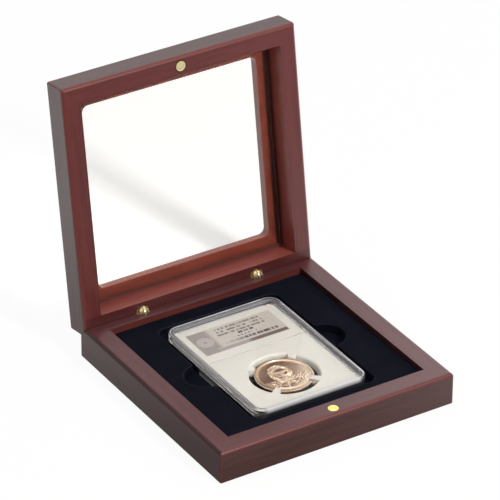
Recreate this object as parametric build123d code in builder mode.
"""Coin display case.

A small wooden case with a hinged, glazed lid. A velvet insert in the base holds one
encapsulated coin. The lid is drawn shut, on planes that are then swung open about the
hinge axis, so the model stands as the case does on a shelf: lid back on its stop.

Frame: X to the right, Y to the back, Z up, origin at the middle of the underside.
Millimetres and degrees.
"""
import os
from math import cos, radians, sin

from build123d import *

os.makedirs("parts", exist_ok=True)

# ------------------------------------------------------------------ case
case_width = 130.0
case_depth = 129.0
base_height = 17.2  # surface the case stands on, up to the base rim
lid_height = 14.8  # lid rim to the top of the lid's rails
base_rail_width = 10.4
lid_rail_width = 9.4
rim_gap = 0.2  # between the two rims when shut
mating_round = 1.8  # round on the outer edges that meet when shut
corner_round = 1.0  # upright corners
top_round = 0.8  # outer edges of the lid top
foot_round = 0.6  # outer edges of the base's underside
foot_gap = 0.3  # rails stand this much above the felt's face
joint_fit = 0.05  # glued wood to wood, and brass let into wood

# ------------------------------------------------------------------ base floor
felt_thickness = 1.0
felt_margin = 1.2  # felt stops short of the panel's edge
panel_thickness = 2.5
base_rabbet = 4.0  # how far the panel reaches into the rails

# ------------------------------------------------------------------ insert
velvet_drop = 2.8  # base rim down to the velvet
recess_depth = 5.2
recess_slack_x = 5.8  # recess over the slab's width
recess_slack_y = 5.7  # recess over the slab's length
recess_corner = 4.5
notch_radius = 10.0  # half-round finger notches beside the recess
insert_fit = 0.2
insert_round = 0.7  # pile turned over the outer edges

# ------------------------------------------------------------------ lid top
lid_panel_thickness = 4.9
panel_rise = 3.2  # panel stands proud of the rails
panel_round = 2.0  # its outer edges
lid_rabbet = 5.0  # how far the panel reaches into the rails
window_margin_x = 16.3  # case side to window edge
window_margin_y = 16.8  # case front or back to window edge
window_corner = 3.5
window_round = 0.5  # outer edge of the window opening
glass_thickness = 2.4
glass_margin = 1.4  # glass edge to rail

# ------------------------------------------------------------------ hinges
hinge_spacing = 65.0
hinge_inset = 4.6  # case back to the hinge axis
opening_angle = 98.4
stop_clearance = 0.1  # each bevelled back face, short of the meeting plane
barrel_diameter = 6.8
barrel_floor = 1.0  # closed end beyond the slot
knuckle_radius = 3.15
leaf_thickness = 1.4
leaf_gap = 0.4
leaf_clearance = 0.1  # leaf pack to slot wall
tail_width = 3.0
tail_end = 1.3  # leaf beyond its anchor pin
tail_air = 0.7  # leaf's end to the slot's end
anchor_depth = 6.6  # hinge axis to anchor pin
anchor_grip = 0.4  # anchor pin into each side wall of the barrel
pin_diameter = 1.2
pin_fit = 0.04

# ------------------------------------------------------------------ magnetic catch
catch_inset = 5.2  # case front to the catch
strike_diameter = 5.5
strike_thickness = 1.5
strike_round = 0.3
cup_diameter = 5.0
cup_depth = 3.2
cup_wall = 0.45
magnet_thickness = 2.4
magnet_drop = 0.15  # magnet face below the cup's rim

# ------------------------------------------------------------------ slab, the coin's capsule
slab_width = 62.6
slab_length = 85.5
slab_thickness = 8.0
slab_corner = 6.2
slab_edge = 0.7
slab_shift_x = -1.2  # where it lies in the roomy recess
slab_shift_y = -2.3
lower_shell_height = 4.0
shell_floor = 1.4
shell_wall = 2.95  # at the sides
shell_end_wall = 0.9
cavity_corner = 5.6
pane_drop = 1.2  # raised rim down to the clear pane
pane_thickness = 1.7
rim_width = 2.6
pane_air = 0.5  # clear pane down to the holder

# ------------------------------------------------------------------ holder, label and coin
holder_fit = 0.1
groove_width = 0.8
groove_depth = 0.4
groove_shift = 9.3  # slab centre to the groove
label_width = 47.0
label_height = 20.6
label_thickness = 0.25
label_pocket = 0.3
label_fit = 0.1
label_shift = 25.7  # slab centre to the label's centre
coin_diameter = 28.6
coin_thickness = 1.9
coin_shift = -16.2  # slab centre to the coin's centre
coin_drop = 0.8  # holder face down to the coin's rim
coin_fit = 0.15
coin_rim = 1.0
coin_relief = 0.25  # rim above the field
portrait_relief = 0.22  # portrait above the field
portrait_margin = 1.6  # portrait's edge to the coin's rim
head_rise = 1.8  # coin's centre up to the head's
head_width = 10.8
head_height = 13.6
neck_drop = 6.2  # coin's centre down to the neck's
neck_width = 6.0
neck_height = 4.0
shoulder_drop = 10.5  # coin's centre down to the shoulders'
shoulder_width = 16.0
shoulder_height = 9.0
crater_diameter = 34.6
crater_slope = 0.6  # the wall's foot inside its lip
lip_round = 1.2  # edge of the crater
prong_root = 1.4  # into the crater's wall
prong_root_width = 4.4
prong_tip_width = 2.2
prong_under = 2.4  # under the coin's edge
prong_reach = 1.9  # over the coin's rim
prong_air = 0.1  # over the coin's face
prong_drop = 0.4  # slope at the tip, downwards
prong_run = 0.5  # slope at the tip, along the prong

# ------------------------------------------------------------------ worked out from the above
half_width = case_width / 2
half_depth = case_depth / 2
base_opening = (case_width - 2 * base_rail_width, case_depth - 2 * base_rail_width)
lid_opening = (case_width - 2 * lid_rail_width, case_depth - 2 * lid_rail_width)
lid_rim_z = base_height + rim_gap  # shut
lid_top_z = lid_rim_z + lid_height
lid_panel_z = lid_top_z + panel_rise - lid_panel_thickness
panel_top = felt_thickness + panel_thickness
velvet_z = base_height - velvet_drop
seat_z = velvet_z - recess_depth
recess_width = slab_width + recess_slack_x
recess_length = slab_length + recess_slack_y
axis_y = half_depth - hinge_inset
axis_z = base_height + rim_gap / 2
hinge_xs = {"left": -hinge_spacing / 2, "right": hinge_spacing / 2}
leaf_pitch = leaf_thickness + leaf_gap
pack_width = 3 * leaf_thickness + 2 * leaf_gap
slot_width = pack_width + 2 * leaf_clearance
slot_depth = anchor_depth + tail_end + tail_air
barrel_depth = slot_depth + barrel_floor
anchor_length = slot_width + 2 * anchor_grip
slab_top = seat_z + slab_thickness
parting_z = seat_z + lower_shell_height
pane_top = slab_top - pane_drop
holder_top = pane_top - pane_thickness - pane_air
holder_bottom = seat_z + shell_floor
cavity = (slab_width - 2 * shell_wall, slab_length - 2 * shell_end_wall)
coin_top = holder_top - coin_drop
coin_bottom = coin_top - coin_thickness
pocket_radius = coin_diameter / 2 + coin_fit
tip_radius = coin_diameter / 2 - prong_reach
slab_x, slab_y = slab_shift_x, slab_shift_y
coin_y = slab_y + coin_shift
catch_y = -half_depth + catch_inset

# The lid's swing: everything drawn shut is moved open about the hinge axis.
swing = Pos(0, axis_y, axis_z) * Rot(-opening_angle, 0, 0) * Pos(0, -axis_y, -axis_z)


def on_lid(plane):
    """A plane drawn with the lid shut, where it is with the lid open."""
    return Plane(swing * plane.location)


def mitre(x_side, y_side):
    """Upright plane through one case corner, facing the front or back rail."""
    corner = (x_side * half_width, y_side * half_depth, 0)
    return Plane(origin=corner, x_dir=(0, 0, 1), z_dir=(-x_side, y_side, 0))


def bevel(direction):
    """Plane of a bevelled back face: -1 faces down into the base, 1 up into the lid."""
    half_angle = radians(opening_angle / 2)
    normal = Vector(0, sin(half_angle), -direction * cos(half_angle))
    return Plane(
        origin=Vector(0, axis_y, axis_z) - normal * stop_clearance,
        x_dir=(1, 0, 0),
        z_dir=normal,
    )


corners = {
    "front_left": mitre(-1, -1),
    "front_right": mitre(1, -1),
    "back_left": mitre(-1, 1),
    "back_right": mitre(1, 1),
}
base_bevel = bevel(-1)
lid_bevel = bevel(1)

# ------------------------------------------------------------------ base rails
with BuildPart() as base_ring:
    with BuildSketch(Plane.XY.offset(foot_gap)):
        Rectangle(case_width, case_depth)
    extrude(amount=base_height - foot_gap)
    fillet(base_ring.edges().filter_by(Axis.Z), corner_round)
    fillet(base_ring.edges().group_by(Axis.Z)[-1], mating_round)
    fillet(base_ring.edges().group_by(Axis.Z)[0], foot_round)
    with BuildSketch(Plane.XY):
        Rectangle(*base_opening)
    extrude(amount=base_height, mode=Mode.SUBTRACT)
    with BuildSketch(Plane.XY):
        Rectangle(base_opening[0] + 2 * base_rabbet, base_opening[1] + 2 * base_rabbet)
    extrude(amount=panel_top + joint_fit, mode=Mode.SUBTRACT)
    split(bisect_by=base_bevel, keep=Keep.BOTTOM)
    # Bores for the hinge barrels in the back, and for the strike disc in the front.
    with BuildSketch(Plane.XY.offset(base_height)):
        with Locations((-hinge_spacing / 2, axis_y), (hinge_spacing / 2, axis_y)):
            Circle(barrel_diameter / 2 + joint_fit)
    extrude(amount=-barrel_depth - joint_fit, mode=Mode.SUBTRACT)
    with BuildSketch(Plane.XY.offset(base_height)):
        with Locations((0, catch_y)):
            Circle(strike_diameter / 2 + joint_fit)
    extrude(amount=-strike_thickness - joint_fit, mode=Mode.SUBTRACT)

with BuildPart() as base_front_rail:
    add(base_ring.part)
    split(bisect_by=corners["front_left"], keep=Keep.TOP)
    split(bisect_by=corners["front_right"], keep=Keep.TOP)

with BuildPart() as base_back_rail:
    add(base_ring.part)
    split(bisect_by=corners["back_left"], keep=Keep.TOP)
    split(bisect_by=corners["back_right"], keep=Keep.TOP)

with BuildPart() as base_left_rail:
    add(base_ring.part)
    split(bisect_by=corners["front_left"], keep=Keep.BOTTOM)
    split(bisect_by=corners["back_left"], keep=Keep.BOTTOM)

with BuildPart() as base_right_rail:
    add(base_ring.part)
    split(bisect_by=corners["front_right"], keep=Keep.BOTTOM)
    split(bisect_by=corners["back_right"], keep=Keep.BOTTOM)

# ------------------------------------------------------------------ base floor and felt
with BuildPart() as base_panel:
    with BuildSketch(Plane.XY.offset(felt_thickness)):
        Rectangle(
            base_opening[0] + 2 * base_rabbet - 2 * joint_fit,
            base_opening[1] + 2 * base_rabbet - 2 * joint_fit,
        )
    extrude(amount=panel_thickness)

with BuildPart() as base_felt:
    with BuildSketch(Plane.XY):
        Rectangle(
            base_opening[0] + 2 * base_rabbet - 2 * felt_margin,
            base_opening[1] + 2 * base_rabbet - 2 * felt_margin,
        )
    extrude(amount=felt_thickness)

# ------------------------------------------------------------------ velvet insert
insert_size = (base_opening[0] - 2 * insert_fit, base_opening[1] - 2 * insert_fit)

with BuildPart() as insert_floor:
    with BuildSketch(Plane.XY.offset(panel_top)):
        Rectangle(*insert_size)
    extrude(amount=seat_z - panel_top)

with BuildPart() as insert_frame:
    with BuildSketch(Plane.XY.offset(seat_z)):
        Rectangle(*insert_size)
    extrude(amount=recess_depth)
    fillet(insert_frame.edges().group_by(Axis.Z)[-1], insert_round)
    with BuildSketch(Plane.XY.offset(seat_z)):
        RectangleRounded(recess_width, recess_length, recess_corner)
        with Locations((-recess_width / 2, 0), (recess_width / 2, 0)):
            Circle(notch_radius)
    extrude(amount=recess_depth, mode=Mode.SUBTRACT)

# ------------------------------------------------------------------ strike disc in the base rim
with BuildPart() as base_strike_disc:
    with BuildSketch(Plane.XY.offset(base_height)):
        with Locations((0, catch_y)):
            Circle(strike_diameter / 2)
    extrude(amount=-strike_thickness)
    fillet(base_strike_disc.edges().group_by(Axis.Z)[-1], strike_round)

# ------------------------------------------------------------------ lid rails
lid_up = Axis((0, axis_y, axis_z), (0, sin(radians(opening_angle)), cos(radians(opening_angle))))

with BuildPart() as lid_ring:
    with BuildSketch(on_lid(Plane.XY.offset(lid_rim_z))):
        Rectangle(case_width, case_depth)
    extrude(amount=lid_height)
    fillet(lid_ring.edges().filter_by(lid_up), corner_round)
    fillet(lid_ring.edges().group_by(lid_up)[0], mating_round)
    fillet(lid_ring.edges().group_by(lid_up)[-1], top_round)
    with BuildSketch(on_lid(Plane.XY.offset(lid_rim_z))):
        Rectangle(*lid_opening)
    extrude(amount=lid_height, mode=Mode.SUBTRACT)
    with BuildSketch(on_lid(Plane.XY.offset(lid_panel_z - joint_fit))):
        Rectangle(lid_opening[0] + 2 * lid_rabbet, lid_opening[1] + 2 * lid_rabbet)
    extrude(amount=lid_panel_thickness + joint_fit, mode=Mode.SUBTRACT)
    split(bisect_by=on_lid(lid_bevel), keep=Keep.BOTTOM)
    # Bores for the hinge barrels in the back, and for the magnet cup in the front.
    with BuildSketch(on_lid(Plane.XY.offset(lid_rim_z))):
        with Locations((-hinge_spacing / 2, axis_y), (hinge_spacing / 2, axis_y)):
            Circle(barrel_diameter / 2 + joint_fit)
    extrude(amount=barrel_depth + joint_fit, mode=Mode.SUBTRACT)
    with BuildSketch(on_lid(Plane.XY.offset(lid_rim_z))):
        with Locations((0, catch_y)):
            Circle(cup_diameter / 2 + joint_fit)
    extrude(amount=cup_depth + joint_fit, mode=Mode.SUBTRACT)

with BuildPart() as lid_front_rail:
    add(lid_ring.part)
    split(bisect_by=on_lid(corners["front_left"]), keep=Keep.TOP)
    split(bisect_by=on_lid(corners["front_right"]), keep=Keep.TOP)

with BuildPart() as lid_back_rail:
    add(lid_ring.part)
    split(bisect_by=on_lid(corners["back_left"]), keep=Keep.TOP)
    split(bisect_by=on_lid(corners["back_right"]), keep=Keep.TOP)

with BuildPart() as lid_left_rail:
    add(lid_ring.part)
    split(bisect_by=on_lid(corners["front_left"]), keep=Keep.BOTTOM)
    split(bisect_by=on_lid(corners["back_left"]), keep=Keep.BOTTOM)

with BuildPart() as lid_right_rail:
    add(lid_ring.part)
    split(bisect_by=on_lid(corners["front_right"]), keep=Keep.BOTTOM)
    split(bisect_by=on_lid(corners["back_right"]), keep=Keep.BOTTOM)

# ------------------------------------------------------------------ lid top and its glass
with BuildPart() as lid_top_panel:
    with BuildSketch(on_lid(Plane.XY.offset(lid_panel_z))):
        Rectangle(
            lid_opening[0] + 2 * lid_rabbet - 2 * joint_fit,
            lid_opening[1] + 2 * lid_rabbet - 2 * joint_fit,
        )
        RectangleRounded(
            case_width - 2 * window_margin_x,
            case_depth - 2 * window_margin_y,
            window_corner,
            mode=Mode.SUBTRACT,
        )
    extrude(amount=lid_panel_thickness)
    window_edges = lid_top_panel.faces().sort_by(lid_up)[-1].inner_wires()[0].edges()
    fillet(window_edges, window_round)
    field_edges = lid_top_panel.faces().sort_by(lid_up)[-1].outer_wire().edges()
    fillet(field_edges, panel_round)

with BuildPart() as glass_pane:
    with BuildSketch(on_lid(Plane.XY.offset(lid_panel_z))):
        Rectangle(lid_opening[0] - 2 * glass_margin, lid_opening[1] - 2 * glass_margin)
    extrude(amount=-glass_thickness)

# ------------------------------------------------------------------ magnet and cup in the lid rim
with BuildPart() as lid_magnet_cup:
    with BuildSketch(on_lid(Plane.XY.offset(lid_rim_z))):
        with Locations((0, catch_y)):
            Circle(cup_diameter / 2)
    extrude(amount=cup_depth)
    with BuildSketch(on_lid(Plane.XY.offset(lid_rim_z))):
        with Locations((0, catch_y)):
            Circle(cup_diameter / 2 - cup_wall)
    extrude(amount=magnet_drop + magnet_thickness, mode=Mode.SUBTRACT)

with BuildPart() as lid_magnet:
    with BuildSketch(on_lid(Plane.XY.offset(lid_rim_z + magnet_drop))):
        with Locations((0, catch_y)):
            Circle(cup_diameter / 2 - cup_wall - pin_fit)
    extrude(amount=magnet_thickness)

# ------------------------------------------------------------------ hinges
# Each hinge is two slotted barrels, let into the rims and joined by three leaves on one
# pivot pin. The two outer leaves belong to the base and the middle one to the lid. Each
# leaf's round end is a slice of one ball about the hinge axis, so that the pack shows as
# a small dome in the crease of the open case. Drawn shut: side is -1 down, 1 up.


def barrel(x, side, place):
    """Slotted brass barrel, its end flush with the rim and with the bevelled back."""
    rim = base_height if side < 0 else lid_rim_z
    with BuildPart() as made:
        with BuildSketch(place(Plane.XY.offset(rim))):
            with Locations((x, axis_y)):
                Circle(barrel_diameter / 2)
        extrude(amount=side * barrel_depth)
        with BuildSketch(place(Plane.XY.offset(rim))):
            with Locations((x, axis_y)):
                Rectangle(slot_width, barrel_diameter)
        extrude(amount=side * slot_depth, mode=Mode.SUBTRACT)
        with BuildSketch(place(Plane.YZ.offset(x))):
            with Locations((axis_y, axis_z + side * anchor_depth)):
                Circle(pin_diameter / 2 + pin_fit)
        extrude(amount=barrel_diameter / 2, both=True, mode=Mode.SUBTRACT)
        split(bisect_by=place(base_bevel if side < 0 else lid_bevel), keep=Keep.BOTTOM)
    return made.part


def leaf(x, hinge_x, side, place):
    """One leaf: a slice of the knuckle ball with a tail down its barrel's slot."""
    tail_length = anchor_depth + tail_end
    across = Plane(origin=(hinge_x, axis_y, axis_z), x_dir=(1, 0, 0), z_dir=(0, -1, 0))
    with BuildPart() as made:
        with BuildSketch(place(across)):
            Circle(knuckle_radius)
            with Locations((x - hinge_x, knuckle_radius)):
                Rectangle(leaf_thickness, 2 * knuckle_radius, mode=Mode.INTERSECT)
        revolve(axis=Axis((hinge_x, axis_y, axis_z), (1, 0, 0)))
        with BuildSketch(place(Plane.YZ.offset(x - leaf_thickness / 2))):
            with Locations((axis_y, axis_z + side * tail_length / 2)):
                Rectangle(tail_width, tail_length)
        extrude(amount=leaf_thickness)
        with BuildSketch(place(Plane.YZ.offset(x - leaf_thickness / 2))):
            with Locations((axis_y, axis_z), (axis_y, axis_z + side * anchor_depth)):
                Circle(pin_diameter / 2 + pin_fit)
        extrude(amount=leaf_thickness, mode=Mode.SUBTRACT)
    return made.part


def cross_pin(x, y, z, length, place):
    """A plain pin along X."""
    with BuildPart() as made:
        with BuildSketch(place(Plane.YZ.offset(x))):
            with Locations((y, z)):
                Circle(pin_diameter / 2)
        extrude(amount=length / 2, both=True)
    return made.part


def as_built(plane):
    """A base plane stays where it is drawn."""
    return plane


def write(part, name):
    """Label one finished piece and write it as its own file."""
    part.label = name
    export_step(part, f"parts/{name}.step")


for hand, hinge_x in hinge_xs.items():
    write(barrel(hinge_x, -1, as_built), f"hinge_{hand}_base_barrel")
    write(barrel(hinge_x, 1, on_lid), f"hinge_{hand}_lid_barrel")
    outer_leaves = [
        leaf(hinge_x + step * leaf_pitch, hinge_x, -1, as_built) for step in (-1, 1)
    ]
    write(Compound(children=outer_leaves), f"hinge_{hand}_base_leaves")
    write(leaf(hinge_x, hinge_x, 1, on_lid), f"hinge_{hand}_lid_leaf")
    write(cross_pin(hinge_x, axis_y, axis_z, pack_width, as_built), f"hinge_{hand}_pivot_pin")
    for owner, side, place in (("base", -1, as_built), ("lid", 1, on_lid)):
        pin = cross_pin(hinge_x, axis_y, axis_z + side * anchor_depth, anchor_length, place)
        write(pin, f"hinge_{hand}_{owner}_anchor_pin")

# ------------------------------------------------------------------ slab shells
with BuildPart() as slab_lower_shell:
    with BuildSketch(Plane.XY.offset(seat_z)):
        with Locations((slab_x, slab_y)):
            RectangleRounded(slab_width, slab_length, slab_corner)
    extrude(amount=lower_shell_height)
    fillet(slab_lower_shell.edges().group_by(Axis.Z)[0], slab_edge)
    with BuildSketch(Plane.XY.offset(holder_bottom)):
        with Locations((slab_x, slab_y)):
            RectangleRounded(*cavity, cavity_corner)
    extrude(amount=lower_shell_height, mode=Mode.SUBTRACT)

with BuildPart() as slab_upper_shell:
    with BuildSketch(Plane.XY.offset(parting_z)):
        with Locations((slab_x, slab_y)):
            RectangleRounded(slab_width, slab_length, slab_corner)
    extrude(amount=slab_top - parting_z)
    fillet(slab_upper_shell.edges().group_by(Axis.Z)[-1], slab_edge)
    with BuildSketch(Plane.XY.offset(parting_z)):
        with Locations((slab_x, slab_y)):
            RectangleRounded(*cavity, cavity_corner)
    extrude(amount=pane_top - pane_thickness - parting_z, mode=Mode.SUBTRACT)
    with BuildSketch(Plane.XY.offset(pane_top)):
        with Locations((slab_x, slab_y)):
            RectangleRounded(
                slab_width - 2 * rim_width,
                slab_length - 2 * rim_width,
                slab_corner - rim_width + slab_edge,
            )
    extrude(amount=pane_drop, mode=Mode.SUBTRACT)

# ------------------------------------------------------------------ white holder with its crater
with BuildPart() as slab_holder:
    with BuildSketch(Plane.XY.offset(holder_bottom)):
        with Locations((slab_x, slab_y)):
            RectangleRounded(
                cavity[0] - 2 * holder_fit, cavity[1] - 2 * holder_fit, cavity_corner
            )
    extrude(amount=holder_top - holder_bottom)
    # The crater goes right through, so the coin's edge shows all round it.
    with BuildSketch(Plane.XY.offset(holder_bottom)):
        with Locations((slab_x, coin_y)):
            Circle(crater_diameter / 2 - crater_slope)
    with BuildSketch(Plane.XY.offset(holder_top)):
        with Locations((slab_x, coin_y)):
            Circle(crater_diameter / 2)
    loft(mode=Mode.SUBTRACT)
    lip = slab_holder.edges().filter_by(GeomType.CIRCLE).filter_by(
        lambda edge: abs(edge.radius - crater_diameter / 2) < crater_slope / 2
    )
    fillet(lip, lip_round)
    # Four tapering prongs on the diagonals reach in under the coin. The front two also
    # reach over its rim.
    root = crater_diameter / 2 + prong_root
    tip = coin_diameter / 2 - prong_under
    with BuildSketch(Plane.XY.offset(holder_bottom)):
        with Locations((slab_x, coin_y)):
            with PolarLocations(0, 4, start_angle=45):
                Polygon(
                    (tip, -prong_tip_width / 2),
                    (root, -prong_root_width / 2),
                    (root, prong_root_width / 2),
                    (tip, prong_tip_width / 2),
                    align=None,
                )
    extrude(amount=holder_top - holder_bottom)
    # The coin's slot in the prongs, and their shorter, sloping tips above it.
    with BuildSketch(Plane.XY.offset(coin_bottom)):
        with Locations((slab_x, coin_y)):
            Circle(pocket_radius)
    extrude(amount=coin_thickness + prong_air, mode=Mode.SUBTRACT)
    with BuildSketch(Plane.XY.offset(coin_top + prong_air)):
        with Locations((slab_x, coin_y)):
            Circle(tip_radius)
    extrude(amount=holder_top - coin_top - prong_air, mode=Mode.SUBTRACT)
    with BuildSketch(Plane.XY.offset(holder_top - prong_drop)):
        with Locations((slab_x, coin_y)):
            Circle(tip_radius)
    with BuildSketch(Plane.XY.offset(holder_top)):
        with Locations((slab_x, coin_y)):
            Circle(tip_radius + prong_run)
    loft(mode=Mode.SUBTRACT)
    with BuildSketch(Plane.XY.offset(coin_top + prong_air)):
        with Locations((slab_x, coin_y)):
            Circle(pocket_radius)
        with Locations((slab_x, coin_y + pocket_radius / 2)):
            Rectangle(2 * pocket_radius, pocket_radius, mode=Mode.INTERSECT)
    extrude(amount=holder_top - coin_top - prong_air, mode=Mode.SUBTRACT)
    # Pocket for the label, and the groove between label and coin.
    with BuildSketch(Plane.XY.offset(holder_top)):
        with Locations((slab_x, slab_y + label_shift)):
            Rectangle(label_width + 2 * label_fit, label_height + 2 * label_fit)
    extrude(amount=-label_pocket, mode=Mode.SUBTRACT)
    with BuildSketch(Plane.XY.offset(holder_top)):
        with Locations((slab_x, slab_y + groove_shift)):
            Rectangle(slab_width, groove_width)
    extrude(amount=-groove_depth, mode=Mode.SUBTRACT)

with BuildPart() as slab_label:
    with BuildSketch(Plane.XY.offset(holder_top - label_pocket)):
        with Locations((slab_x, slab_y + label_shift)):
            Rectangle(label_width, label_height)
    extrude(amount=label_thickness)

# ------------------------------------------------------------------ coin
# A rim on both faces and a plain head and shoulders in low relief on the upper one.
field_top = coin_top - coin_relief
field_bottom = coin_bottom + coin_relief
portrait_radius = coin_diameter / 2 - coin_rim - portrait_margin

with BuildPart() as coin:
    with BuildSketch(Plane.XY.offset(coin_bottom)):
        with Locations((slab_x, coin_y)):
            Circle(coin_diameter / 2)
    extrude(amount=coin_thickness)
    with BuildSketch(Plane.XY.offset(field_top)):
        with Locations((slab_x, coin_y)):
            Circle(coin_diameter / 2 - coin_rim)
    extrude(amount=coin_relief, mode=Mode.SUBTRACT)
    with BuildSketch(Plane.XY.offset(field_bottom)):
        with Locations((slab_x, coin_y)):
            Circle(coin_diameter / 2 - coin_rim)
    extrude(amount=-coin_relief, mode=Mode.SUBTRACT)
    with BuildSketch(Plane.XY.offset(field_top)) as portrait:
        with Locations((slab_x, coin_y + head_rise)):
            Ellipse(head_width / 2, head_height / 2)
        with Locations((slab_x, coin_y - neck_drop)):
            Rectangle(neck_width, neck_height)
        with Locations((slab_x, coin_y - shoulder_drop)):
            Ellipse(shoulder_width / 2, shoulder_height / 2)
        with Locations((slab_x, coin_y)):
            Circle(portrait_radius, mode=Mode.INTERSECT)
    extrude(amount=portrait_relief)

# ------------------------------------------------------------------ write the remaining pieces
for name, made in (
    ("base_front_rail", base_front_rail),
    ("base_back_rail", base_back_rail),
    ("base_left_rail", base_left_rail),
    ("base_right_rail", base_right_rail),
    ("base_panel", base_panel),
    ("base_felt", base_felt),
    ("insert_floor", insert_floor),
    ("insert_frame", insert_frame),
    ("base_strike_disc", base_strike_disc),
    ("lid_front_rail", lid_front_rail),
    ("lid_back_rail", lid_back_rail),
    ("lid_left_rail", lid_left_rail),
    ("lid_right_rail", lid_right_rail),
    ("lid_top_panel", lid_top_panel),
    ("glass_pane", glass_pane),
    ("lid_magnet_cup", lid_magnet_cup),
    ("lid_magnet", lid_magnet),
    ("slab_lower_shell", slab_lower_shell),
    ("slab_upper_shell", slab_upper_shell),
    ("slab_holder", slab_holder),
    ("slab_label", slab_label),
    ("coin", coin),
):
    write(made.part, name)
